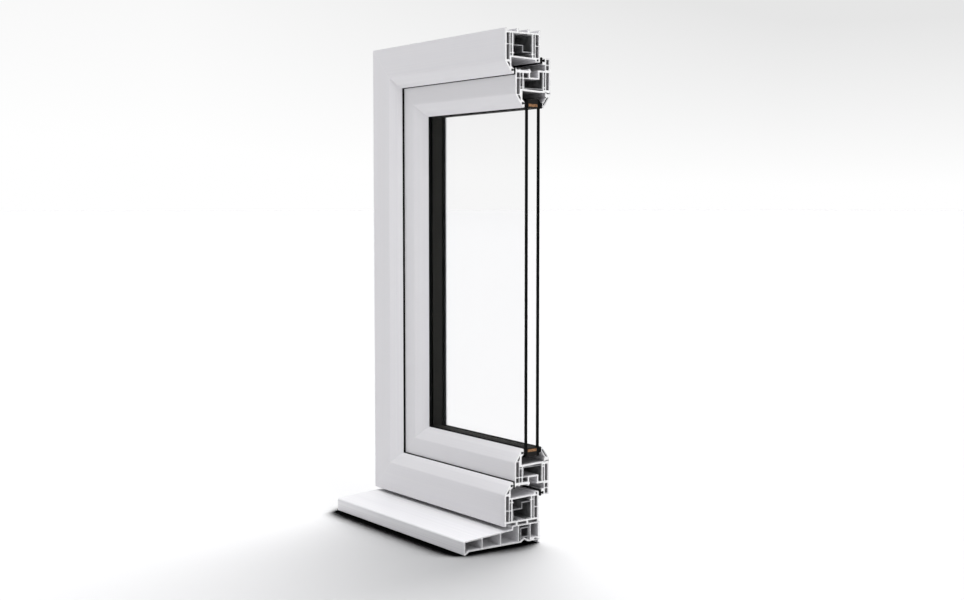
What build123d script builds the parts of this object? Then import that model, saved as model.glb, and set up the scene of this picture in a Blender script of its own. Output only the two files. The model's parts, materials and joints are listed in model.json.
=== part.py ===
"""Cut-away sample of a white multi-chamber PVC window on its cill.

The sample is one end of a window: head, left jamb and base rail of the outer frame, the opening sash
inside them, and a double glazed unit, all sawn off square at the right so that the profiles show.

Axes: X runs along the head and base rail, with the saw cut at +X. Y runs from outdoors (-Y) to
indoors (+Y). Z is up. The origin is on the floor, under the middle of the sample's outer box.
Every profile is drawn by its depth from its own outdoor face and its height from its own outer edge.
"""
import os

from build123d import *

os.makedirs("parts", exist_ok=True)

# Overall sizes
sample_width = 400.0
sample_height = 800.0  # outer frame, without the cill
cill_projection = 80.0  # in front of the outdoor face of the frame

# Outer frame profile
frame_depth = 70.0
frame_wall = 2.8  # walls that show
frame_foot = 4.6  # height of the feet below the outer wall
frame_foot_tip = 2.4  # half the width of a foot at its tip
frame_foot_neck = 1.4
frame_shoulder = 52.0  # where the outdoor face turns into the chamfer of the lip
frame_lip = 71.8  # height of the outdoor lip
frame_lip_width = 5.3  # from the gasket face of the lip back to the rebate
frame_lip_bend = 60.0  # where the back of the lip leans towards the sash
frame_rebate = 47.2  # outer edge to the rebate, indoors
frame_rebate_fall = 1.6  # fall of the rebate towards outdoors, to drain
frame_rebate_wall = 2.4
frame_nib = 51.0  # height of the indoor edge
frame_nib_width = 8.5
frame_outer_chamber = 6.0  # chambers behind either face
frame_inner_web = 1.8
frame_inner_chamber = 2.8
frame_steel_wall = 2.6  # walls of the chamber that holds the steel
frame_web_height = 25.3  # web across the outer chambers
frame_nub_height = 38.5  # nubs that keep the steel down
frame_nub_reach = 2.2

# Opening sash profile
sash_depth = 70.8
sash_wall = 2.8
sash_bottom = 65.0  # outer edge of the frame to the bottom of the sash
sash_sole = 4.2  # wall along the bottom
sash_toe = 3.0  # leg of the outdoor face below the bottom
sash_floor = 34.0  # bottom of the sash to its glazing floor
sash_floor_wall = 3.0
sash_floor_fall = 1.4
sash_shoulder = 38.0
sash_leg = 59.4  # height of the outdoor glazing leg
sash_leg_tip = 18.2  # outdoor face of the sash to the tip of its glazing leg
sash_outer_chamber = 6.0
sash_inner_chamber = 4.0
sash_steel_wall = 2.2
sash_main_back = 15.2  # steel chamber to the indoor face
flange_drop = 21.5  # how far the indoor flange hangs over the frame
flange_seat = 16.3  # depth of the flange, from its gasket seat to the indoor face
flange_neck = 10.6  # depth of the flange above the seat
flange_seat_height = 10.6  # gasket seat, from the bottom of the flange
flange_wall = 2.2
groove_width = 16.3  # hardware groove
groove_depth = 10.8
groove_back = 25.0  # indoor side of the groove to the indoor face of the sash
groove_side_wall = 2.8
groove_lip = 1.7  # outdoor lip that holds the hardware

# Thin walls, and the radii of profile edges
web = 1.4
face_radius = 6.0  # bends of the faces that show
edge_radius = 0.5

# Gaskets, by the gap that each one closes, and the grooves that they clip into
weather_gap = 3.0  # frame lip to sash face
flange_gap = 5.0  # indoor face of the frame to the sash flange
glazing_gap = 3.3  # glazing leg to the outer pane
bead_gap = 5.0  # inner pane to the bead
gasket_clearance = 0.2
slot_lip = 1.8  # mouth of a groove, before it widens
slot_depth = 3.3  # wide part of a groove
slot_mouth = 1.7
slot_height = 3.6
flange_slot_mouth = 3.0
flange_slot_height = 4.6

# Double glazed unit
pane = 4.0
pane_gap = 20.0
unit_edge = 110.0  # outer edge of the frame to the edge of the glass
edge_seal = 6.8  # height of the sealant below the spacer
spacer_height = 7.6
spacer_wall = 1.0
spacer_sight_wall = 2.2  # wall that faces the middle of the unit

# Glazing bead
bead_height = 24.4
bead_face_height = 7.4  # upright face that carries the gasket
bead_wall = 1.6
bead_foot = 3.0
bead_foot_place = 6.0  # face of the bead to its foot
bead_foot_drop = 1.1  # into the clip groove of the sash floor
bead_clearance = 0.3

# Steel inside the profiles
steel = 1.5
steel_clearance = 0.3
steel_step = 10.0
steel_return = 9.0

# Cill
cill_height = 30.0
cill_drip = 5.0  # the nose and the back leg reach this far below the base
cill_wall = 2.0
cill_back_wall = 3.6
cill_web = 1.8
cill_back = 2.0  # behind the indoor face of the frame
cill_nose_radius = 3.0
cill_drip_tip = 1.4
cill_drip_slope = 9.6  # nose to the back of the drip
cill_step_depth = 15.5  # outdoor face of the frame to the step under it
cill_step = 5.6
cill_fall = 6.8  # fall of the sloping top from the step to the nose
cill_webs = (-45.0, -8.0)  # middles of the two webs in front of the steel chamber
cill_steel_chamber = 22.0
cill_steel_width = 17.0
cill_steel_wall = 1.8
cill_peak = 7.2  # inverted V under the steel, above the base
cill_peak_reach = 9.0  # half the width of that V
cill_rib = 1.2
cill_rib_place = 7.7  # middle of the steel to either rib
cill_shelf = 5.6  # bottom of the back chamber above the base
cill_slot_low = 1.4  # fixing slot, open at the back
cill_slot_high = 3.6
cill_slot_depth = 11.0

# Places that follow from the sizes above
sash_face = frame_depth + flange_gap - (sash_depth - flange_seat)
lip_face = sash_face - weather_gap
glazing_floor = sash_bottom + sash_floor
glass_face = sash_face + sash_leg_tip + glazing_gap
unit_depth = 2 * pane + pane_gap
bead_face = glass_face + unit_depth + bead_gap
bead_width = sash_face + sash_depth - bead_face
overall_depth = cill_projection + sash_face + sash_depth
front_y = cill_projection - overall_depth / 2
base_z = cill_height + cill_drip
top_z = base_z + sample_height
left_x = -sample_width / 2
cut_x = sample_width / 2
lip_slot = frame_lip - 6.1
leg_slot = sash_leg - 7.0
flange_face = sash_depth - flange_seat
flange_slot = 4.0 - flange_drop

# Steel chambers: outdoor and indoor walls
frame_main = frame_wall + frame_outer_chamber + frame_inner_web + frame_inner_chamber + frame_steel_wall
sash_main = sash_wall + sash_outer_chamber + web + sash_inner_chamber + sash_steel_wall
sash_shelf = groove_depth + 2.6

# Planes of the two mitres
upper_mitre = Plane(origin=(left_x, front_y, top_z), x_dir=(0, 1, 0), z_dir=(1, 0, 1))
lower_mitre = Plane(origin=(left_x, front_y, base_z), x_dir=(0, 1, 0), z_dir=(1, 0, -1))

# Where each side of the window starts, how long it runs, and the side of each mitre that it keeps
sides = {
    "head": (
        Plane(origin=(cut_x, front_y, top_z), x_dir=(0, 1, 0), z_dir=(-1, 0, 0)),
        sample_width,
        ((upper_mitre, Keep.TOP),),
    ),
    "jamb": (
        Plane(origin=(left_x, front_y, top_z), x_dir=(0, 1, 0), z_dir=(0, 0, -1)),
        sample_height,
        ((upper_mitre, Keep.BOTTOM), (lower_mitre, Keep.BOTTOM)),
    ),
    "base": (
        Plane(origin=(left_x, front_y, base_z), x_dir=(0, 1, 0), z_dir=(1, 0, 0)),
        sample_width,
        ((lower_mitre, Keep.TOP),),
    ),
}


def add(*points):
    """Material inside a closed outline of the profile being drawn."""
    Polygon(*points, align=None)


def cut(*points):
    """Hollow inside a closed outline of the profile being drawn."""
    Polygon(*points, align=None, mode=Mode.SUBTRACT)


def box(d_a, d_b, h_a, h_b):
    """Corners of a rectangle between two depths and two heights."""
    d_from, d_to = sorted((d_a, d_b))
    h_from, h_to = sorted((h_a, h_b))
    return (d_from, h_from), (d_to, h_from), (d_to, h_to), (d_from, h_to)


def folded(*points):
    """Steel sheet folded square along a line of points."""
    half = steel / 2
    for (d_a, h_a), (d_b, h_b) in zip(points, points[1:]):
        add(*box(min(d_a, d_b) - half, max(d_a, d_b) + half, min(h_a, h_b) - half, max(h_a, h_b) + half))


def slot(face, middle, inward, mouth=slot_mouth, height=slot_height, clearance=0.0):
    """Gasket groove behind a face. With a clearance it is the foot of the gasket in that groove."""
    half_mouth = mouth / 2 - clearance
    half = height / 2 - clearance
    neck = slot_lip + clearance
    end = slot_lip + slot_depth - clearance
    return (
        box(face, face + inward * (neck + 0.1), middle - half_mouth, middle + half_mouth),
        box(face + inward * neck, face + inward * end, middle - half, middle + half),
    )


def frame_section():
    """Outer frame: feet, five rows of chambers, rebate, indoor nib and the outdoor lip with its groove."""
    back = frame_depth
    floor = frame_foot + frame_wall
    rebate_low = frame_rebate - frame_rebate_fall
    lip_back = lip_face - frame_lip_width
    web_out = frame_wall + frame_outer_chamber
    inner_out = web_out + frame_inner_web
    steel_out = inner_out + frame_inner_chamber
    nub_low = frame_nub_height - web / 2
    nub_high = frame_nub_height + web / 2

    add(
        (0, 0),
        (frame_wall, 0),
        (frame_wall, frame_foot),
        (back - frame_wall, frame_foot),
        (back - frame_wall, 0),
        (back, 0),
        (back, frame_nib),
        (back - frame_nib_width, frame_nib),
        (back - frame_nib_width - 1.5, frame_rebate),
        (lip_back, rebate_low),
        (lip_back, frame_lip_bend),
        (lip_face, frame_lip_bend + 3.3),
        (lip_face, frame_lip - 0.8),
        (lip_face - 1, frame_lip),
        (lip_face - 8, frame_lip - 5.3),
        (0, frame_shoulder),
    )
    # Dovetail feet under the outer wall
    for middle in (back * 0.35, back * 0.665):
        add(
            (middle - frame_foot_tip, 0),
            (middle + frame_foot_tip, 0),
            (middle + frame_foot_neck, frame_foot),
            (middle - frame_foot_neck, frame_foot),
        )

    # Chambers behind both faces, with one web across them
    low = frame_web_height - web / 2
    high = frame_web_height + web / 2
    under_nib = frame_rebate - frame_rebate_wall - 1
    cut(*box(frame_wall, web_out, floor, low))
    cut(*box(frame_wall, web_out, high, frame_shoulder - frame_rebate_wall))
    cut(*box(back - web_out, back - frame_wall, floor, low))
    cut(*box(back - web_out, back - frame_wall, high, under_nib))

    # Narrow chambers beside the steel chamber
    under_rebate = rebate_low - frame_rebate_wall
    cut(*box(inner_out, steel_out, floor, low))
    cut(*box(inner_out, steel_out, high, nub_low))
    cut(*box(inner_out, steel_out, nub_high, under_rebate))
    cut(*box(back - steel_out, back - inner_out, floor, nub_low))
    cut(*box(back - steel_out, back - inner_out, nub_high, under_nib))

    # Steel chamber, with a nub on either side above the steel
    cut(
        (frame_main, floor),
        (back - frame_main, floor),
        (back - frame_main, frame_rebate - frame_rebate_wall - 0.4),
        (frame_main, under_rebate),
    )
    for wall, reach in ((frame_main, frame_nub_reach), (back - frame_main, -frame_nub_reach)):
        add(
            (wall, frame_nub_height - 1.3),
            (wall + reach, frame_nub_height - 0.7),
            (wall + reach, frame_nub_height + 0.7),
            (wall, frame_nub_height + 1.3),
        )

    # Chamber of the lip, and the small one in the indoor nib
    lip_hollow = lip_back - 2.6
    cut(
        (3.8, frame_shoulder + 1),
        (web_out - 0.6, frame_shoulder + 1),
        (lip_hollow, frame_shoulder + 4),
        (lip_hollow, frame_shoulder + 9.4),
    )
    cut(*box(back - 6.4, back - frame_wall, frame_rebate - 0.9, frame_nib - 1.6))

    for outline in slot(lip_face, lip_slot, -1):
        cut(*outline)
    return (
        (face_radius, (0, frame_shoulder)),
        (face_radius, (lip_face - 8, frame_lip - 5.3)),
        (edge_radius, (lip_face - 1, frame_lip)),
        (edge_radius, (lip_face, frame_lip - 0.8)),
        (edge_radius, (back, frame_nib)),
    )


def weather_gasket_section():
    """Gasket between the frame lip and the face of the sash."""
    for outline in slot(lip_face, lip_slot, -1, clearance=gasket_clearance):
        add(*outline)
    add(
        (lip_face, lip_slot - 4.2),
        (sash_face - 0.7, lip_slot - 4.9),
        (sash_face, lip_slot - 3.6),
        (sash_face, frame_lip + 0.8),
        (lip_face + 1, frame_lip + 0.8),
        (lip_face, frame_lip - 1.4),
    )


def sash_section():
    """Sash, from its own outdoor face and bottom: chambers, hardware groove, flange and glazing leg."""
    back = sash_depth
    web_out = sash_wall + sash_outer_chamber
    inner_out = web_out + web
    steel_out = inner_out + sash_inner_chamber
    main_in = back - sash_main_back
    groove_in = back - groove_back
    groove_out = groove_in - groove_width
    groove_wall = groove_out - groove_side_wall
    groove_inner_wall = groove_in + groove_side_wall
    flange_in = back - flange_neck
    flange_hollow = flange_in + flange_wall
    flange_web = -flange_seat_height
    floor_out = sash_floor - sash_floor_fall
    leg_back = sash_leg_tip - 4.4
    bottom_in = -1.5
    above_bottom_in = 1.5

    add(
        (0.3, -sash_toe),
        (1.6, -sash_toe),
        (sash_wall, 0),
        (groove_wall, 0),
        (groove_wall, -2.6),
        (groove_out, -2.6),
        (groove_out + groove_lip, -0.4),
        (groove_out + groove_lip, bottom_in + 0.1),
        (flange_in, bottom_in),
        (flange_in, flange_seat_height - flange_drop),
        (flange_face, flange_seat_height - flange_drop),
        (flange_face, -flange_drop),
        (back, -flange_drop),
        (back, sash_floor),
        (groove_in, sash_floor),
        (leg_back, floor_out),
        (leg_back, sash_leg - 13.1),
        (sash_leg_tip, sash_leg - 9.3),
        (sash_leg_tip, sash_leg - 0.8),
        (sash_leg_tip - 1.2, sash_leg),
        (sash_leg_tip - 9.7, sash_leg - 7.7),
        (0, sash_shoulder),
        (0, 0),
    )
    # Rib under the outdoor half
    add((web_out - 0.4, -1.8), (web_out + 1.2, -1.8), (web_out + 1.8, 0), (web_out - 1, 0))

    # Hardware groove, with a hooked lip on its outdoor side
    cut(
        (groove_out, -2.7),
        (groove_in - 0.8, -2.7),
        (groove_in - 0.8, above_bottom_in),
        (groove_in, above_bottom_in),
        (groove_in, groove_depth),
        (groove_out, groove_depth),
    )
    add(
        (groove_out - 0.1, -0.6),
        (groove_out + groove_lip, 0.2),
        (groove_out + groove_lip, 2.6),
        (groove_out - 0.1, 3.8),
    )

    # Clip groove for the glazing bead
    clip = bead_face - sash_face + bead_foot_place
    clip_floor = sash_floor - bead_foot_drop - bead_clearance
    cut(*box(clip - bead_clearance, clip + bead_foot + bead_clearance, clip_floor, sash_floor + 1))

    # Outdoor chambers
    under_floor = floor_out - sash_floor_wall
    below_shelf = sash_shelf - 1.6
    cut(*box(sash_wall, web_out, sash_sole, below_shelf))
    cut(*box(sash_wall, web_out, sash_shelf, sash_shoulder + 0.2))
    cut(*box(inner_out, steel_out, sash_sole, below_shelf))
    cut(*box(inner_out, steel_out, sash_shelf, under_floor - 3.6))
    cut(*box(inner_out, steel_out, under_floor - 2, under_floor))
    cut(*box(sash_main, groove_wall, sash_sole, below_shelf))

    # Steel chamber, which steps down beside the hardware groove
    under = sash_floor - sash_floor_wall
    cut(
        (sash_main, sash_shelf),
        (groove_inner_wall, sash_shelf),
        (groove_inner_wall, above_bottom_in),
        (main_in, above_bottom_in),
        (main_in, under),
        (groove_in, under),
        (sash_main, under_floor),
    )

    # Indoor chambers and those of the flange
    cut(*box(main_in + 2.2, flange_in, above_bottom_in, under - 6.2))
    cut(*box(main_in + 2.2, flange_in, under - 4.2, under - 1.7))
    cut(*box(flange_hollow, back - sash_wall, above_bottom_in, under - 1.6))
    cut(*box(flange_hollow, back - sash_wall, flange_web + 0.7, bottom_in - 1))
    cut(*box(flange_hollow, back - sash_wall, flange_web - 0.9, 2.1 - flange_drop))

    # Chamber of the glazing leg
    bend = sash_leg_tip - 7.9
    cut(
        (4.6, sash_shoulder + 2),
        (bend - 1.4, sash_shoulder + 2),
        (bend, sash_shoulder + 4.8),
        (bend, sash_leg - 11),
    )

    for outline in slot(sash_leg_tip, leg_slot, -1):
        cut(*outline)
    for outline in slot(flange_face, flange_slot, 1, flange_slot_mouth, flange_slot_height):
        cut(*outline)
    return (
        (face_radius, (0, sash_shoulder)),
        (face_radius, (sash_leg_tip - 9.7, sash_leg - 7.7)),
        (edge_radius, (sash_leg_tip - 1.2, sash_leg)),
        (edge_radius, (sash_leg_tip, sash_leg - 0.8)),
        (edge_radius, (back, -flange_drop)),
        (edge_radius, (flange_face, -flange_drop)),
    )


def flange_gasket_section():
    """Gasket on the sash flange, with a lip that meets the indoor edge of the frame."""
    for outline in slot(
        flange_face, flange_slot, 1, flange_slot_mouth, flange_slot_height, gasket_clearance
    ):
        add(*outline)
    frame_side = flange_face - flange_gap
    nib = frame_nib - sash_bottom
    add(
        (flange_face - 1.8, -flange_drop - 1.2),
        (flange_face - 0.4, -flange_drop - 1.2),
        (flange_face, 0.4 - flange_drop),
        (flange_face, nib + 1.4),
        (frame_side, nib + 1.2),
        (frame_side, nib - 1.8),
        (flange_face - 2.4, nib - 3),
    )


def glazing_gasket_section():
    """Gasket between the glazing leg and the outer pane, in sash measures."""
    glass = sash_leg_tip + glazing_gap
    for outline in slot(sash_leg_tip, leg_slot, -1, clearance=gasket_clearance):
        add(*outline)
    add(
        (sash_leg_tip, sash_leg - 9.3),
        (glass - 0.6, sash_leg - 10.4),
        (glass, sash_leg - 9.6),
        (glass, sash_leg + 1.6),
        (sash_leg_tip + 1, sash_leg + 1.4),
        (sash_leg_tip, sash_leg - 0.8),
    )


def bead_section():
    """Hollow glazing bead, drawn from its face to the glass and from the glazing floor."""
    back = bead_width
    foot_end = bead_foot_place + bead_foot
    add(
        (back - 1.4, 0),
        (back, 0),
        (back, 3.4),
        (back - 0.6, 5.4),
        (2.4, bead_height),
        (0, bead_height),
        (0, bead_height - bead_face_height),
        (7.4, 7.4),
        (bead_foot_place, 5),
        (bead_foot_place, -bead_foot_drop),
        (foot_end, -bead_foot_drop),
        (foot_end, 1.6),
        (back - 1.4, 1.6),
    )
    cut(
        (bead_wall, bead_height - 6.6),
        (back - 6.4, 7),
        (back - 3.8, 7),
        (2.6, bead_height - 3.4),
        (bead_wall, bead_height - 3.4),
    )
    return ((edge_radius, (2.4, bead_height)), (edge_radius, (back - 0.6, 5.4)))


def bead_gasket_section():
    """Gasket between the bead and the inner pane, in bead measures."""
    add(
        (-bead_gap, bead_height - 8.8),
        (-1.2, bead_height - 8.2),
        (0, bead_height - bead_face_height),
        (0, bead_height),
        (-1.4, bead_height + 1),
        (-bead_gap, bead_height + 1.2),
    )


def spacer_section():
    """Hollow spacer bar between the panes."""
    near = glass_face + pane
    far = near + pane_gap
    low = unit_edge + edge_seal
    high = low + spacer_height
    add(*box(near, far, low, high))
    cut(*box(near + spacer_wall, far - spacer_wall, low + spacer_wall, high - spacer_sight_wall))


def desiccant_section():
    """Drying beads packed in the spacer bar."""
    near = glass_face + pane + spacer_wall
    low = unit_edge + edge_seal
    high = low + spacer_height - spacer_sight_wall
    add(*box(near, near + pane_gap - 2 * spacer_wall, low + spacer_wall, high))


def edge_seal_section():
    """Sealant that closes the edge of the unit behind the spacer bar."""
    near = glass_face + pane
    add(*box(near, near + pane_gap, unit_edge, unit_edge + edge_seal))


def frame_steel_section():
    """Steel of the frame: a stepped channel with two return flanges on the chamber floor."""
    inset = steel_clearance + steel / 2
    near = frame_main + inset
    far = frame_depth - frame_main - inset
    middle = (near + far) / 2
    floor = frame_foot + frame_wall + inset
    top = frame_nub_height - 1.3 - inset
    folded(
        (near + steel_return, floor),
        (near, floor),
        (near, top - steel_step),
        (middle, top - steel_step),
        (middle, top),
        (far, top),
        (far, floor),
        (far - steel_return, floor),
    )


def sash_steel_section():
    """Channel of the sash, open towards the hardware groove, with its indoor side beside the groove."""
    inset = steel_clearance + steel / 2
    near = sash_main + inset
    far = sash_depth - sash_main_back - inset
    top = sash_floor - sash_floor_fall - sash_floor_wall - inset
    folded((near, sash_shelf + inset), (near, top), (far, top), (far, 1.5 + inset))


def mitred_bar(label, section, side, depth=0.0, height=0.0):
    """One side of a frame: its profile, extruded along that side and cut at the mitres."""
    place, length, mitres = sides[side]
    with BuildPart() as bar:
        with BuildSketch(place.shift_origin(place.from_local_coords((depth, height, 0)))) as profile:
            for radius, corner in section() or ():
                fillet(profile.vertices().sort_by_distance(corner)[0], radius)
        extrude(amount=length)
        for mitre, keep in mitres:
            split(bisect_by=mitre, keep=keep)
    bar.part.label = label
    export_step(bar.part, f"parts/{label}.step")


# Bars that run round the window. Each is drawn at its own depth and height from the outer frame's edge.
bars = (
    ("frame", frame_section, 0, 0),
    ("sash", sash_section, sash_face, sash_bottom),
    ("bead", bead_section, bead_face, glazing_floor),
    ("weather_gasket", weather_gasket_section, 0, 0),
    ("flange_gasket", flange_gasket_section, sash_face, sash_bottom),
    ("glazing_gasket", glazing_gasket_section, sash_face, sash_bottom),
    ("bead_gasket", bead_gasket_section, bead_face, glazing_floor),
    ("spacer", spacer_section, 0, 0),
    ("desiccant", desiccant_section, 0, 0),
    ("edge_seal", edge_seal_section, 0, 0),
    ("frame_steel", frame_steel_section, 0, 0),
    ("sash_steel", sash_steel_section, sash_face, sash_bottom),
)
for name, section, depth, height in bars:
    for side in sides:
        mitred_bar(f"{name}_{side}", section, side, depth, height)

# Panes of the double glazed unit
pane_width = sample_width - unit_edge
pane_height = sample_height - 2 * unit_edge
for label, depth in (("outer_pane", glass_face), ("inner_pane", glass_face + pane + pane_gap)):
    with BuildPart(Plane.XY.offset(base_z + unit_edge)) as glass:
        with Locations((left_x + unit_edge, front_y + depth)):
            Box(pane_width, pane, pane_height, align=(Align.MIN, Align.MIN, Align.MIN))
    glass.part.label = label
    export_step(glass.part, f"parts/{label}.step")

# Cill, drawn from the outdoor face and the outer edge of the frame
nose = -cill_projection
base = -cill_height
tip = base - cill_drip
heel = frame_depth + cill_back
above_base = base + cill_wall
peak = base + cill_peak
steel_far = heel - 20.5
steel_near = steel_far - cill_steel_chamber
steel_middle = (steel_near + steel_far) / 2
with BuildPart() as cill:
    with BuildSketch(sides["base"][0]) as cill_profile:
        add(
            (heel, 0),
            (cill_step_depth, 0),
            (cill_step_depth, -cill_step),
            (nose, -cill_step - cill_fall),
            (nose, tip + 1.2),
            (nose + cill_drip_tip, tip),
            (nose + cill_drip_slope, base),
            (heel - cill_back_wall, base),
            (heel - cill_back_wall, tip),
            (heel, tip),
        )
        fillet(cill_profile.vertices().sort_by_distance((nose, -cill_step - cill_fall))[0], cill_nose_radius)

        # Two sloping chambers behind the nose, of which the first follows the drip
        slope = cill_fall / (cill_step_depth + cill_projection)
        half_web = cill_web / 2
        below_top = -cill_step - cill_wall - slope * cill_step_depth
        first, second = cill_webs
        cut(
            (nose + cill_wall, tip + 2.7),
            (nose + cill_drip_slope - 0.6, above_base),
            (first - half_web, above_base),
            (first - half_web, below_top + slope * (first - half_web)),
            (nose + cill_wall, below_top + slope * (nose + cill_wall)),
        )
        cut(
            (first + half_web, above_base),
            (second - half_web, above_base),
            (second - half_web, below_top + slope * (second - half_web)),
            (first + half_web, below_top + slope * (first + half_web)),
        )
        # Chamber under the outdoor edge of the frame, with the step in its top
        step_in = cill_step_depth + cill_wall
        cut(
            (second + half_web, above_base),
            (steel_near - cill_web, above_base),
            (steel_near - cill_web, -cill_wall),
            (step_in, -cill_wall),
            (step_in, -cill_step - cill_wall),
            (second + half_web, below_top + slope * (second + half_web)),
        )
        # Chamber of the steel, over an inverted V in the base, and the two ribs that carry the steel
        cut(
            (steel_near, above_base),
            (steel_middle - cill_peak_reach, above_base),
            (steel_middle, peak),
            (steel_middle + cill_peak_reach, above_base),
            (steel_far, above_base),
            (steel_far, -cill_wall),
            (steel_near, -cill_wall),
        )
        cut(
            (steel_middle + 1.4 - cill_peak_reach, base - 0.1),
            (steel_middle - 1.4 + cill_peak_reach, base - 0.1),
            (steel_middle, peak - 2.6),
        )
        for rib in (steel_middle - cill_rib_place, steel_middle + cill_rib_place):
            add(*box(rib - cill_rib / 2, rib + cill_rib / 2, base + 1, peak))
        # Back chamber, and the fixing slot under it
        cut(*box(steel_far + cill_web, heel - cill_back_wall, base + cill_shelf, -cill_wall))
        cut(*box(heel - cill_slot_depth, heel + 1, base + cill_slot_low, base + cill_slot_high))
    extrude(amount=sample_width)
cill.part.label = "cill"
export_step(cill.part, "parts/cill.step")

# Square steel tube in the cill
tube_low = peak + steel_clearance
tube_high = tube_low + cill_steel_width
tube_half = cill_steel_width / 2
hollow_half = tube_half - cill_steel_wall
with BuildPart() as cill_steel:
    with BuildSketch(sides["base"][0]):
        add(*box(steel_middle - tube_half, steel_middle + tube_half, tube_low, tube_high))
        cut(
            *box(
                steel_middle - hollow_half,
                steel_middle + hollow_half,
                tube_low + cill_steel_wall,
                tube_high - cill_steel_wall,
            )
        )
    extrude(amount=sample_width)
cill_steel.part.label = "cill_steel"
export_step(cill_steel.part, "parts/cill_steel.step")

print(f"{len(bars) * len(sides) + 4} sub-parts written")
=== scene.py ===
# %% [markdown]
# # A cut-away sample of a white PVC window
# The sample is one end of a window: head, left jamb, base rail, opening sash, double glazed unit and cill.
# It is sawn off square on the right, so the chambers, the steel stiffeners and the rubber gaskets show.
# The measured model already has every shape at its real size, so it is loaded and left as it is. What it
# lacks is finishes, light and a camera, and this script gives it those.

import json
import math

import bpy
from mathutils import Matrix, Vector


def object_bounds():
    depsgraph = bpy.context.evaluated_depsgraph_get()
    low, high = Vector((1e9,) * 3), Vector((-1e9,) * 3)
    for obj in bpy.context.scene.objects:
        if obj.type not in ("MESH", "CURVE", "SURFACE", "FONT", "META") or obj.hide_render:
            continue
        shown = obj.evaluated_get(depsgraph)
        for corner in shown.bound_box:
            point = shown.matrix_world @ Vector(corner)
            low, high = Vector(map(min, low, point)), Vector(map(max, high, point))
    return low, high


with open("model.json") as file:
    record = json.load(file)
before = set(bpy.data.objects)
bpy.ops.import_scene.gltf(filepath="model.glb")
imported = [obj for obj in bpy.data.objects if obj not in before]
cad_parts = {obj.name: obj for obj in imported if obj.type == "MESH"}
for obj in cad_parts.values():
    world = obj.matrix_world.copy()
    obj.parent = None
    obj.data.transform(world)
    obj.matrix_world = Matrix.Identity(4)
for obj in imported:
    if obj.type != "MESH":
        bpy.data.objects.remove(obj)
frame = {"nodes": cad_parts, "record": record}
cad_low, cad_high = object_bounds()
print("model box in mm:", [round(1000 * (high - low), 1) for low, high in zip(cad_low, cad_high)])

# %% [markdown]
# ## The camera
# The photograph was taken from outdoors, to the right of the sample and a little above its middle. A camera
# is a place, two turns and a lens, and these were found by lining up the long straight edges of the frame.
# The camera is made first, because everything else is judged through it.

# %% Camera
PICTURE_WIDTH = 964  # pixels
SENSOR_WIDTH = 36.0  # mm
FOCAL_PIXELS = 1352.7
CAMERA_PLACE = Vector((1.92667, -1.30143, 0.55194))
CAMERA_YAW = math.radians(54.087)  # from straight into the window, towards the jamb
CAMERA_PITCH = math.radians(-3.931)

lens = bpy.data.cameras.new("studio_camera")
lens.sensor_width = SENSOR_WIDTH
lens.lens = FOCAL_PIXELS / PICTURE_WIDTH * SENSOR_WIDTH
camera = bpy.data.objects.new("studio_camera", lens)
bpy.context.scene.collection.objects.link(camera)
turn = Matrix.Rotation(CAMERA_YAW, 4, "Z") @ Matrix.Rotation(math.pi / 2 + CAMERA_PITCH, 4, "X")
camera.matrix_world = Matrix.Translation(CAMERA_PLACE) @ turn
bpy.context.scene.camera = camera
print("lens in mm:", round(lens.lens, 2))

# %% [markdown]
# ## Colours and nodes
# Colours are written as the hex values that a paint chart gives. Blender works in linear light, so one
# function turns them. One more helper adds a shader node with its settings and its links, and a third
# starts an empty material, because every finish below begins in the same way.

# %% Helpers for colours, nodes and materials
MM = 0.001


def srgb(code, alpha=1.0):
    """A hex colour as linear red, green, blue and alpha."""
    parts = [int(code[i:i + 2], 16) / 255 for i in (1, 3, 5)]
    return tuple(c / 12.92 if c <= 0.04045 else ((c + 0.055) / 1.055) ** 2.4 for c in parts) + (alpha,)


def add_node(tree, kind, inputs=None, **settings):
    """Adds a node. An input is a value, or the output of another node to link."""
    node = tree.nodes.new("ShaderNode" + kind)
    for name, value in settings.items():
        setattr(node, name, value)
    for name, value in (inputs or {}).items():
        if isinstance(value, bpy.types.NodeSocket):
            tree.links.new(value, node.inputs[name])
        else:
            node.inputs[name].default_value = value
    return node


def new_material(name):
    """An empty material, its node tree and the place of each point in metres."""
    material = bpy.data.materials.new(name)
    material.use_nodes = True
    material.node_tree.nodes.clear()
    place = add_node(material.node_tree, "TexCoord").outputs["Object"]
    return material, material.node_tree, place


print("white paper in linear light:", [round(part, 3) for part in srgb("#FFFFFF")])

# %% [markdown]
# ## Rigid PVC: the skin
# The white bars are rigid PVC, pushed through a steel die and cooled in water. That leaves a satin skin with
# faint lines along each bar. The lines could be painted in an image, but a noise that is stretched along the
# bar needs none and keeps its real size. Inside the chambers the skin gets a painted shade, greyer where
# little open air reaches, which ambient occlusion finds. Outer edges are made a touch brighter, partly as
# wear from packing and partly as a painted highlight, and the Bevel node finds those.

# %% PVC skin
PVC_WHITE = "#EDECEE"
PVC_SHADE = "#EAE9EC"
# the grey of the painted shade inside the chambers
PVC_CHAMBER_SHADE = "#7A797B"
# the white of worn edges and of the painted highlight there
PVC_RUBBED_AND_HIGHLIT = "#FCFCFC"
DIE_LINE = 1.5 * MM  # finer on the real bar, drawn this wide so that it shows
LINE_STRETCH = 1.5  # changes along a bar in a metre
LINE_DARK, LINE_LIGHT = 0.3, 0.7  # levels of the noise where a line is all shade and all white
CHAMBER_REACH = 22.0 * MM  # open air is looked for this far out
CHAMBER_SHUT, CHAMBER_OPEN = 0.1, 0.5  # shares of open air that give the full painted shade, and none
EDGE_RUB_AND_HIGHLIGHT = 0.8 * MM
RUB_AND_HIGHLIGHT_STARTS, RUB_AND_HIGHLIGHT_ENDS = 0.99, 0.85  # cosines between the flat and the rounded surface at an edge
RUB_AND_HIGHLIGHT_MOST = 0.8


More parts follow.
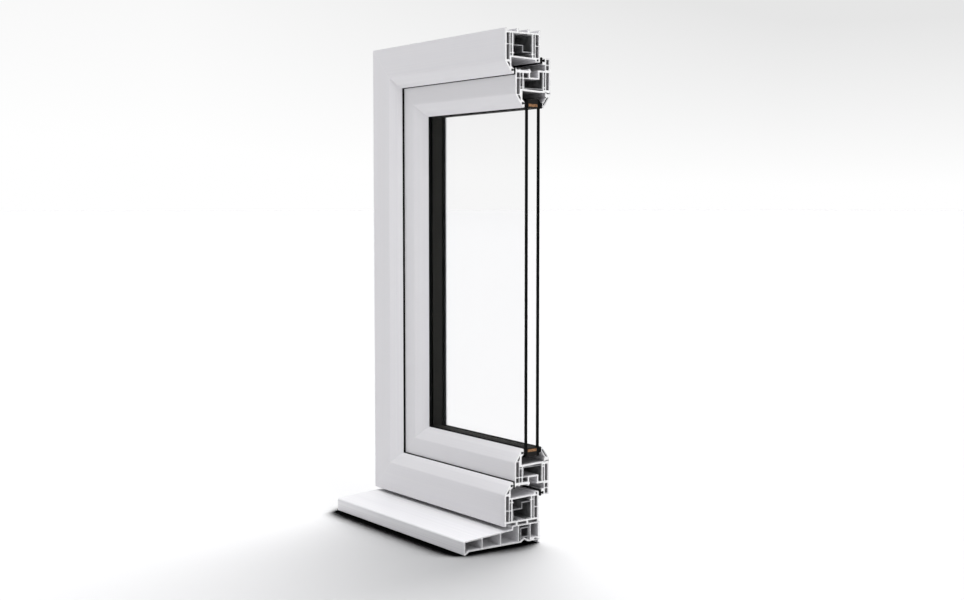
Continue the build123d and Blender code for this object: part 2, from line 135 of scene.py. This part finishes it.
def pvc_skin(tree, place, along, white, alone):
    """Colour of the skin, with painted shade in the chambers and a painted highlight on the edges. With
    alone, a bar's neighbours and the floor add no painted shade to it.
    """
    across = [1.0 / DIE_LINE] * 3
    across["XYZ".index(along)] = LINE_STRETCH
    lined = add_node(tree, "Mapping", {"Vector": place, "Scale": across}).outputs["Vector"]
    lines = add_node(tree, "TexNoise", {"Vector": lined, "Scale": 1.0, "Detail": 2.0}).outputs["Fac"]
    tone = add_node(tree, "MapRange", {
        "Value": lines, "From Min": LINE_DARK, "From Max": LINE_LIGHT,
    }).outputs["Result"]
    skin = add_node(tree, "Mix", {0: tone, 6: srgb(PVC_SHADE), 7: srgb(white)}, data_type="RGBA").outputs[2]

    # Painted shade: the skin turns grey where little open air reaches, in the chambers and in deep corners.
    air = add_node(tree, "AmbientOcclusion", {"Distance": CHAMBER_REACH}, samples=6, only_local=alone)
    unshaded = add_node(tree, "MapRange", {
        "Value": air.outputs["AO"], "From Min": CHAMBER_SHUT, "From Max": CHAMBER_OPEN,
    }).outputs["Result"]
    skin = add_node(tree, "Mix", {0: unshaded, 6: srgb(PVC_CHAMBER_SHADE), 7: skin}, data_type="RGBA").outputs[2]

    # Painted highlight, partly real edge wear: rounded edges are made brighter.
    flat = add_node(tree, "NewGeometry").outputs["Normal"]
    rounded = add_node(tree, "Bevel", {"Radius": EDGE_RUB_AND_HIGHLIGHT}, samples=4).outputs["Normal"]
    turned = add_node(tree, "VectorMath", {0: flat, 1: rounded}, operation="DOT_PRODUCT").outputs["Value"]
    rubbed_and_highlit = add_node(tree, "MapRange", {
        "Value": turned, "From Min": RUB_AND_HIGHLIGHT_STARTS, "From Max": RUB_AND_HIGHLIGHT_ENDS, "To Max": RUB_AND_HIGHLIGHT_MOST,
    }).outputs["Result"]
    return add_node(tree, "Mix", {0: rubbed_and_highlit, 6: skin, 7: srgb(PVC_RUBBED_AND_HIGHLIT)}, data_type="RGBA").outputs[2]


print("die lines in a metre:", round(1.0 / DIE_LINE))

# %% [markdown]
# ## Rigid PVC: the saw cut
# A saw leaves a matt, slightly chalky white face. The cut faces all lie at the end of the sample and look the
# same way, which picks them out, so one material serves for skin and cut. Light soaks into cut PVC and out
# again through thin webs and at the edge of a wall, and a painted shade greys those to stand in for it.
# Ambient occlusion that looks inwards tells thin from thick.

# %% PVC saw cut
PVC_CUT = "#F5F5F5"
# the grey of the painted shade on thin webs of the cut
PVC_WEB_SHADE = "#848485"
WEB_REACH = 2.4 * MM  # a little less than a thick wall
WEB_THIN, WEB_THICK = 0.15, 0.6  # results of the inward look that give the full painted shade, and the full white
FACES_THE_SAW = 0.95  # how much of a sawn face's direction is +X, at the least
CUT_DEPTH = 1.0 * MM  # how far from the end of the sample a sawn face may lie


def pvc_cut(tree, place):
    """Where a bar was sawn through, as 0 or 1, and the colour that it has there, with painted shade on thin
    webs.
    """
    normal = add_node(tree, "NewGeometry").outputs["Normal"]
    facing = add_node(tree, "SeparateXYZ", {"Vector": normal}).outputs["X"]
    facing = add_node(tree, "Math", {0: facing, 1: FACES_THE_SAW}, operation="GREATER_THAN").outputs["Value"]
    at_end = add_node(tree, "SeparateXYZ", {"Vector": place}).outputs["X"]
    at_end = add_node(tree, "Math", {
        0: at_end, 1: cad_high[0] - CUT_DEPTH,
    }, operation="GREATER_THAN").outputs["Value"]
    sawn = add_node(tree, "Math", {0: facing, 1: at_end}, operation="MULTIPLY").outputs["Value"]

    # Painted shade: thin webs and the edges of walls on the cut are greyed.
    inward = add_node(tree, "AmbientOcclusion", {
        "Distance": WEB_REACH,
    }, samples=6, inside=True, only_local=True).outputs["AO"]
    solid = add_node(tree, "MapRange", {
        "Value": inward, "From Min": WEB_THIN, "From Max": WEB_THICK,
    }).outputs["Result"]
    cut = add_node(tree, "Mix", {0: solid, 6: srgb(PVC_WEB_SHADE), 7: srgb(PVC_CUT)}, data_type="RGBA").outputs[2]
    return sawn, cut


print("reach of the inward look in mm:", round(WEB_REACH / MM, 1))

# %% [markdown]
# ## Rigid PVC: the gloss
# The skin waves a little as it cools, and that shows only in its gloss, so the wave goes into roughness and
# bump. The cut is rougher, with fine slanting marks of the blade. Bars that lie down and bars that stand up
# need die lines of their own. The cill has its own whiter white, painted light that brightens it.

# %% PVC materials
# a whiter white for the cill, painted light that brightens it
CILL_PAINTED_BRIGHT = "#F8F8F9"
SKIN_WAVE = 35.0 * MM
BLADE_MARK = 2.2 * MM  # finer on the real cut, drawn this wide so that it shows
WAVES_TO_PITCH = 0.314  # a wave texture at scale 1 repeats every 0.314 m
BLADE_WANDER = 0.6  # how far the marks stray from straight lines
SATIN_SMOOTH, SATIN_ROUGH = 0.28, 0.36
CUT_ROUGH = 0.6
PVC_IOR = 1.53
PVC_BUMP = 0.25  # a satin skin is nearly flat
PVC_RELIEF = 0.05 * MM  # height of the waves and of the blade's marks


def pvc(name, along, white=PVC_WHITE, alone=False):
    """Extruded PVC whose die lines run along one axis, sawn through at the +X end of the sample."""
    material, tree, place = new_material(name)
    skin = pvc_skin(tree, place, along, white, alone)
    sawn, cut = pvc_cut(tree, place)
    colour = add_node(tree, "Mix", {0: sawn, 6: skin, 7: cut}, data_type="RGBA").outputs[2]

    waves = add_node(tree, "TexNoise", {
        "Vector": place, "Scale": 1.0 / SKIN_WAVE, "Detail": 1.0,
    }).outputs["Fac"]
    blade = add_node(tree, "TexWave", {
        "Vector": place, "Scale": WAVES_TO_PITCH / BLADE_MARK, "Distortion": BLADE_WANDER,
    }, wave_type="BANDS", bands_direction="DIAGONAL").outputs["Fac"]
    satin = add_node(tree, "MapRange", {
        "Value": waves, "To Min": SATIN_SMOOTH, "To Max": SATIN_ROUGH,
    }).outputs["Result"]
    rough = add_node(tree, "Mix", {0: sawn, 2: satin, 3: CUT_ROUGH}, data_type="FLOAT").outputs[0]
    heights = add_node(tree, "Mix", {0: sawn, 2: waves, 3: blade}, data_type="FLOAT").outputs[0]
    bump = add_node(tree, "Bump", {
        "Height": heights, "Strength": PVC_BUMP, "Distance": PVC_RELIEF,
    }).outputs["Normal"]
    shader = add_node(tree, "BsdfPrincipled", {
        "Base Color": colour, "Roughness": rough, "IOR": PVC_IOR, "Normal": bump,
    }).outputs["BSDF"]
    add_node(tree, "OutputMaterial", {"Surface": shader})
    return material


pvc_along_x = pvc("rigid_pvc_extruded_head_and_base", "X")
pvc_along_z = pvc("rigid_pvc_extruded_jamb", "Z")
pvc_cill = pvc("rigid_pvc_extruded_cill", "X", CILL_PAINTED_BRIGHT, alone=True)
print("made", pvc_along_x.name, pvc_along_z.name, pvc_cill.name)

# %% [markdown]
# ## Rubber, sealant and spacer
# The gaskets are extruded EPDM rubber: black and matt, with a bloom that greys them in patches. The seal
# round the glass is gunned in by hand, so it is a little glossier and lumpy. The spacer between the panes is
# a warm-edge bar of grey-black plastic. All three are one dark tone under soft patches of a paler one, so
# one function makes them, and the sizes of the patches and the height of the lumps set them apart.

# %% Gaskets, sealant and spacer
MATT_SPECULAR = 0.1  # dust and bloom take most of the gloss off
LUMP_BUMP = 0.4


def mottled(name, dark, pale, patch, roughness, lumps, ior):
    """A dark material with soft patches of a paler tone, and lumps of the same size."""
    material, tree, place = new_material(name)
    patches = add_node(tree, "TexNoise", {
        "Vector": place, "Scale": 1.0 / patch, "Detail": 3.0,
    }).outputs["Fac"]
    colour = add_node(tree, "Mix", {0: patches, 6: srgb(dark), 7: srgb(pale)}, data_type="RGBA").outputs[2]
    bump = add_node(tree, "Bump", {
        "Height": patches, "Strength": LUMP_BUMP, "Distance": lumps,
    }).outputs["Normal"]
    shader = add_node(tree, "BsdfPrincipled", {
        "Base Color": colour, "Roughness": roughness, "IOR": ior,
        "Specular IOR Level": MATT_SPECULAR, "Normal": bump,
    }).outputs["BSDF"]
    add_node(tree, "OutputMaterial", {"Surface": shader})
    return material


rubber = mottled("epdm_rubber_extruded", dark="#060607", pale="#0C0C0D",
                 patch=4 * MM, roughness=0.7, lumps=0.03 * MM, ior=1.4)
sealant = mottled("polysulphide_sealant_gunned", dark="#0E0D0C", pale="#1A1816",
                  patch=6 * MM, roughness=0.45, lumps=0.2 * MM, ior=1.55)
spacer_bar = mottled("warm_edge_spacer_extruded", dark="#181816", pale="#252521",
                     patch=3 * MM, roughness=0.7, lumps=0.02 * MM, ior=1.5)
print("made", rubber.name, sealant.name, spacer_bar.name)

# %% [markdown]
# ## Drying beads
# The spacer is filled with beads of molecular sieve: tan balls of about a millimetre that keep the gap dry.
# Thousands of balls would be heavy and would hardly show. A Voronoi texture has a round cell for each bead,
# which tints the beads one by one, paints shade into the gaps between them and dents the surface there.

# %% Drying beads
BEAD = 1.2 * MM
BEAD_DARK = "#7A4E2C"
BEAD_PALE = "#B98A5E"
# the dark of the painted shade between the beads
BEAD_GAP_SHADE = "#2E1C10"
DOME_STARTS, DOME_ENDS = 0.35, 0.75  # how far from a bead's middle its dome falls, in beads
DOME_FOOT = 0.35  # how high the dome still is there
BEAD_ROUGH = 0.85
BEAD_BUMP = 0.8
BEAD_DENT = 0.4 * MM

drying_beads, tree, place = new_material("molecular_sieve_beads_packed")
cells = add_node(tree, "TexVoronoi", {"Vector": place, "Scale": 1.0 / BEAD})
tint = add_node(tree, "SeparateColor", {"Color": cells.outputs["Color"]}).outputs["Red"]
tan = add_node(tree, "Mix", {0: tint, 6: srgb(BEAD_DARK), 7: srgb(BEAD_PALE)}, data_type="RGBA").outputs[2]
domes = add_node(tree, "MapRange", {
    "Value": cells.outputs["Distance"], "From Min": DOME_STARTS, "From Max": DOME_ENDS,
    "To Min": 1.0, "To Max": DOME_FOOT,
}).outputs["Result"]
# Painted shade: the gaps between the beads are darkened.
shaded = add_node(tree, "Mix", {0: domes, 6: srgb(BEAD_GAP_SHADE), 7: tan}, data_type="RGBA").outputs[2]
dents = add_node(tree, "Bump", {
    "Height": domes, "Strength": BEAD_BUMP, "Distance": BEAD_DENT,
}).outputs["Normal"]
shader = add_node(tree, "BsdfPrincipled", {
    "Base Color": shaded, "Roughness": BEAD_ROUGH, "Normal": dents,
}).outputs["BSDF"]
add_node(tree, "OutputMaterial", {"Surface": shader})
print("made", drying_beads.name)

# %% [markdown]
# ## Galvanised steel
# The stiffeners are folded from steel sheet that was dipped in zinc. Zinc freezes in flakes, some paler and
# some darker, and the folding rolls rub them down, so the shine differs from flake to flake. The surface is
# part bare zinc and part its dull grey skin, so it is less than fully metallic.

# %% Galvanised steel
SPANGLE = 7.0 * MM
ZINC_DARK = "#7A7B7C"
ZINC_PALE = "#A0A1A3"
ZINC_BRIGHT, ZINC_DULL = 0.34, 0.52  # roughness of the shiniest and of the dullest flake
BARE_ZINC = 0.6  # share of the surface that is bare metal

steel, tree, place = new_material("galvanised_steel_roll_formed")
flakes = add_node(tree, "TexVoronoi", {"Vector": place, "Scale": 1.0 / SPANGLE}).outputs["Color"]
flake = add_node(tree, "SeparateColor", {"Color": flakes}).outputs["Red"]
zinc = add_node(tree, "Mix", {0: flake, 6: srgb(ZINC_DARK), 7: srgb(ZINC_PALE)}, data_type="RGBA").outputs[2]
shine = add_node(tree, "MapRange", {
    "Value": flake, "To Min": ZINC_BRIGHT, "To Max": ZINC_DULL,
}).outputs["Result"]
shader = add_node(tree, "BsdfPrincipled", {
    "Base Color": zinc, "Roughness": shine, "Metallic": BARE_ZINC,
}).outputs["BSDF"]
add_node(tree, "OutputMaterial", {"Surface": shader})
print("made", steel.name)

# %% [markdown]
# ## Float glass: the dark edge
# Each pane is clear float glass. Its cut edges look black, because light that leaves there has crossed so
# much glass, and an opaque painted shade draws that black. Beside the saw cut the photograph shows the black
# reaching a few millimetres over the face, and the painted shade covers that band too. The direction of the
# surface finds the edges, and the distance from the saw cut finds that band.

# %% Glass edge
EDGE_BAND = 3.0 * MM
EDGE_SHADE_BLACK = "#000101"
# the black of the painted shade on the glass edges
EDGE_CHIPPED = "#050807"
EDGE_CHIP = 2.5 * MM
EDGE_ROUGH = 0.5
EDGE_SPECULAR = 0.05
FACE_FLATNESS = 0.5  # a face looks along Y at least this much, and an edge less

glass, tree, place = new_material("float_glass_cut")
surface = add_node(tree, "NewGeometry").outputs
across = add_node(tree, "SeparateXYZ", {"Vector": surface["Normal"]}).outputs["Y"]
flatness = add_node(tree, "Math", {0: across}, operation="ABSOLUTE").outputs["Value"]
edge = add_node(tree, "Math", {0: flatness, 1: FACE_FLATNESS}, operation="LESS_THAN").outputs["Value"]
along = add_node(tree, "SeparateXYZ", {"Vector": place}).outputs["X"]
band = add_node(tree, "Math", {
    0: along, 1: cad_high[0] - EDGE_BAND,
}, operation="GREATER_THAN").outputs["Value"]
edge = add_node(tree, "Math", {0: edge, 1: band}, operation="MAXIMUM").outputs["Value"]
chips = add_node(tree, "TexNoise", {"Vector": place, "Scale": 1.0 / EDGE_CHIP}).outputs["Fac"]
# Painted shade: the edges and the band beside the cut are drawn opaque black.
dark = add_node(tree, "Mix", {0: chips, 6: srgb(EDGE_SHADE_BLACK), 7: srgb(EDGE_CHIPPED)},
                data_type="RGBA").outputs[2]
rim = add_node(tree, "BsdfPrincipled", {
    "Base Color": dark, "Roughness": EDGE_ROUGH, "Specular IOR Level": EDGE_SPECULAR,
}).outputs["BSDF"]
print("dark band beside the cut in mm:", round(EDGE_BAND / MM, 1))

# %% [markdown]
# ## Float glass: the clear face
# Blender's glass shader bends light through each face, and for two thin flat panes that costs much noise for
# a view that hardly shifts. So each face passes light straight through with a slight loss, and adds a weak
# mirror where light enters, which grows at a flat angle. Shadow rays lose a little more, as they do in a real
# unit.

# %% Glass face
GLASS_TINT = "#FDFDFD"  # what is left of the light after each face
GLASS_SHADE = "#C8CAC9"  # the same for shadow rays
GLASS_IOR = 1.5
GLASS_GLINT = 0.12  # the panes are coated, and mirror far less than bare glass

straight = add_node(tree, "BsdfTransparent", {"Color": srgb(GLASS_TINT)}).outputs["BSDF"]
mirror = add_node(tree, "BsdfGlossy", {"Roughness": 0.0}).outputs["BSDF"]
entering = add_node(tree, "Math", {0: 1.0, 1: surface["Backfacing"]}, operation="SUBTRACT").outputs["Value"]
glint = add_node(tree, "Fresnel", {"IOR": GLASS_IOR}).outputs["Fac"]
glint = add_node(tree, "Math", {0: glint, 1: entering}, operation="MULTIPLY").outputs["Value"]
glint = add_node(tree, "Math", {0: glint, 1: GLASS_GLINT}, operation="MULTIPLY").outputs["Value"]
clear = add_node(tree, "MixShader", {0: glint, 1: straight, 2: mirror}).outputs["Shader"]
passed = add_node(tree, "BsdfTransparent", {"Color": srgb(GLASS_SHADE)}).outputs["BSDF"]
shadow = add_node(tree, "LightPath").outputs["Is Shadow Ray"]
body = add_node(tree, "MixShader", {0: shadow, 1: clear, 2: passed}).outputs["Shader"]
pane = add_node(tree, "MixShader", {0: edge, 1: body, 2: rim}).outputs["Shader"]
add_node(tree, "OutputMaterial", {"Surface": pane})
print("made", glass.name)

# %% [markdown]
# ## Put the finishes on
# The record of the model says which slot each piece takes its finish from, so a table from slot to material
# does for nearly all of them. PVC is the exception: its lines follow the bar, so the upright bars and the
# cill have a material of their own.

# %% Finishes
FINISHES = {
    "gasket": rubber, "glass": glass, "spacer": spacer_bar, "sealant": sealant,
    "desiccant": drying_beads, "steel": steel,
}
slots = {piece["node"]: piece["material_slot"] for piece in frame["record"]["subparts"]}
for name, node in frame["nodes"].items():
    white = pvc_cill if name == "cill" else pvc_along_z if name.endswith("jamb") else pvc_along_x
    node.data.materials.clear()
    node.data.materials.append(FINISHES.get(slots[name], white))
print("finished", len(frame["nodes"]), "pieces")

# %% [markdown]
# ## The floor
# The sample stands on white studio paper, which runs so far back that its end can't be seen. Far away it is a
# trace greyer, so that it meets the backdrop with no line. The photograph has a black gap in front of the
# sample, where neither lamp nor sky reaches. Ambient occlusion gives that shade. Its direction leans to the
# back, so it falls in front of the sample. Only the camera sees it, or it would take light off the cill's
# nose.

# %% Floor
FLOOR_SIZE = 400.0
PAPER_NEAR = "#DCDCDC"
PAPER_FAR = "#DADADA"
FAR_STARTS, FAR_ENDS = 15.0, 60.0  # metres from the sample
PAPER_GAP = "#080808"
PAPER_ROUGH = 0.9
GAP_REACH = 0.1  # metres
GAP_LEAN = {"X": 0.0, "Y": 0.75, "Z": 0.65}
GAP_BLACK, GAP_CLEAR = 0.64, 0.85  # shares of open air that leave the paper black, and white

half = FLOOR_SIZE / 2
corners = [(-half, -half, 0), (half, -half, 0), (half, half, 0), (-half, half, 0)]
floor_mesh = bpy.data.meshes.new("studio_floor")
floor_mesh.from_pydata(corners, [], [(0, 1, 2, 3)])
floor = bpy.data.objects.new("studio_floor", floor_mesh)
bpy.context.scene.collection.objects.link(floor)

paper_material, tree, place = new_material("studio_paper")
far = add_node(tree, "VectorMath", {0: place}, operation="LENGTH").outputs["Value"]
far = add_node(tree, "MapRange", {
    "Value": far, "From Min": FAR_STARTS, "From Max": FAR_ENDS,
}).outputs["Result"]
paper = add_node(tree, "Mix", {0: far, 6: srgb(PAPER_NEAR), 7: srgb(PAPER_FAR)}, data_type="RGBA").outputs[2]
lean = add_node(tree, "CombineXYZ", GAP_LEAN).outputs["Vector"]
open_air = add_node(tree, "AmbientOcclusion", {
    "Distance": GAP_REACH, "Normal": lean,
}, samples=16).outputs["AO"]
open_air = add_node(tree, "MapRange", {
    "Value": open_air, "From Min": GAP_BLACK, "From Max": GAP_CLEAR,
}, interpolation_type="SMOOTHSTEP").outputs["Result"]
to_camera = add_node(tree, "LightPath").outputs["Is Camera Ray"]
unseen = add_node(tree, "Math", {0: 1.0, 1: to_camera}, operation="SUBTRACT").outputs["Value"]
lit = add_node(tree, "Math", {0: open_air, 1: unseen}, operation="MAXIMUM").outputs["Value"]
paper = add_node(tree, "Mix", {0: lit, 6: srgb(PAPER_GAP), 7: paper}, data_type="RGBA").outputs[2]
shader = add_node(tree, "BsdfPrincipled", {
    "Base Color": paper, "Roughness": PAPER_ROUGH, "Specular IOR Level": 0.0,
}).outputs["BSDF"]
add_node(tree, "OutputMaterial", {"Surface": shader})
floor_mesh.materials.append(paper_material)
print("floor in metres:", FLOOR_SIZE)

# %% [markdown]
# ## The backdrop
# The photograph's backdrop is white low down and turns a little grey upwards, more so on the right. The world
# can paint that by direction, so no wall is needed and nothing stands in the way of the other views. Camera,
# glossy and transmitted rays see this backdrop. All other light comes from the sky of the next cell.

# %% Backdrop
BACKDROP_LOW, BACKDROP_HIGH = 0.03, 0.26  # how steeply upwards a way points, where the grey starts and ends
BACKDROP_GREY = 0.79
BACKDROP_SIDE = 0.22  # how far to the left or right a way points where the grey comes slowest or fastest
GREY_LEFT, GREY_RIGHT = 0.62, 2.0  # how fast it comes there

world = bpy.data.worlds.new("studio")
bpy.context.scene.world = world
world.use_nodes = True
tree = world.node_tree
tree.nodes.clear()
way = add_node(tree, "TexCoord").outputs["Generated"]
height = add_node(tree, "SeparateXYZ", {"Vector": way}).outputs["Z"]
side = add_node(tree, "VectorMath", {
    0: way, 1: (math.cos(CAMERA_YAW), math.sin(CAMERA_YAW), 0.0),
}, operation="DOT_PRODUCT").outputs["Value"]
steep = add_node(tree, "MapRange", {
    "Value": side, "From Min": -BACKDROP_SIDE, "From Max": BACKDROP_SIDE,
    "To Min": GREY_LEFT, "To Max": GREY_RIGHT,
}).outputs["Result"]
climb = add_node(tree, "Math", {0: height, 1: steep}, operation="MULTIPLY").outputs["Value"]
grey = add_node(tree, "MapRange", {
    "Value": climb, "From Min": BACKDROP_LOW, "From Max": BACKDROP_HIGH,
    "To Min": 1.0, "To Max": BACKDROP_GREY,
}).outputs["Result"]
room = add_node(tree, "Background", {"Color": srgb("#FFFFFF"), "Strength": grey}).outputs["Background"]
rays = add_node(tree, "LightPath").outputs
seen = rays["Is Camera Ray"]
for ray in ("Is Glossy Ray", "Is Transmission Ray"):
    seen = add_node(tree, "Math", {0: seen, 1: rays[ray]}, operation="MAXIMUM").outputs["Value"]
print("backdrop white to", BACKDROP_GREY)

# %% [markdown]
# ## The sky
# A big soft box hangs over the sample: strongest straight above, fading to almost nothing at the horizon.
# The fronts of the bars get half of it and the floor's bounce, so they come out a soft grey, as in the
# photograph.

# %% Sky
SKY_TINT = "#FCFCFF"
SKY_LOW = 0.05
SKY_RISE = 1.06
SKY_CURVE = 2.0  # at 2 the glow follows the square of the height, so it gathers overhead

upward = add_node(tree, "Math", {0: height, 1: SKY_CURVE}, operation="POWER").outputs["Value"]
glow = add_node(tree, "MapRange", {
    "Value": upward, "To Min": SKY_LOW, "To Max": SKY_LOW + SKY_RISE,
}).outputs["Result"]
above = add_node(tree, "Math", {0: height, 1: 0.0}, operation="GREATER_THAN").outputs["Value"]
glow = add_node(tree, "Math", {0: glow, 1: above}, operation="MULTIPLY").outputs["Value"]
sky = add_node(tree, "Background", {"Color": srgb(SKY_TINT), "Strength": glow}).outputs["Background"]
both = add_node(tree, "MixShader", {0: seen, 1: sky, 2: room}).outputs["Shader"]
add_node(tree, "OutputWorld", {"Surface": both})
print("sky from", SKY_LOW, "to", SKY_LOW + SKY_RISE)

# %% [markdown]
# ## The lamps
# Three soft lamps finish the light. The one behind throws the sample's shadow forward on the paper. It lights
# only the paper, or it would bleach the room side of the window in the views from there. The low one whitens
# the saw cut. The third one whitens the cill, and leaves the paper as it is. Light linking says which lamp
# lights what, as black flags do in a real studio.

# %% Lamps
LAMPS = {
    # name: direction from the sample, strength, spread in degrees, and what it lights
    "high_lamp_behind_for_the_shadow": (Vector((-0.66, 0.66, 0.85)), 3.8, 50, "paper"),
    "low_lamp_at_the_saw_cut": (Vector((0.98, 0.0, 0.20)), 0.85, 30, "all"),
    "soft_lamp_over_the_cill": (Vector((0.1, -0.05, 1.0)), 1.9, 50, "sample"),
}

receivers = {"all": None}
for lit_piece, state in (("paper", "INCLUDE"), ("sample", "EXCLUDE")):
    receivers[lit_piece] = bpy.data.collections.new("paper_" + state.lower())
    receivers[lit_piece].objects.link(floor)
    receivers[lit_piece].collection_objects[0].light_linking.link_state = state
for name, (direction, strength, spread, lit_piece) in LAMPS.items():
    lamp = bpy.data.lights.new(name, "SUN")
    lamp.energy = strength
    lamp.angle = math.radians(spread)
    lamp_object = bpy.data.objects.new(name, lamp)
    lamp_object.rotation_mode = "QUATERNION"
    lamp_object.rotation_quaternion = direction.to_track_quat("Z", "Y")
    lamp_object.light_linking.receiver_collection = receivers[lit_piece]
    bpy.context.scene.collection.objects.link(lamp_object)
bpy.context.scene.view_settings.view_transform = "Standard"
print("lamps:", ", ".join(LAMPS))
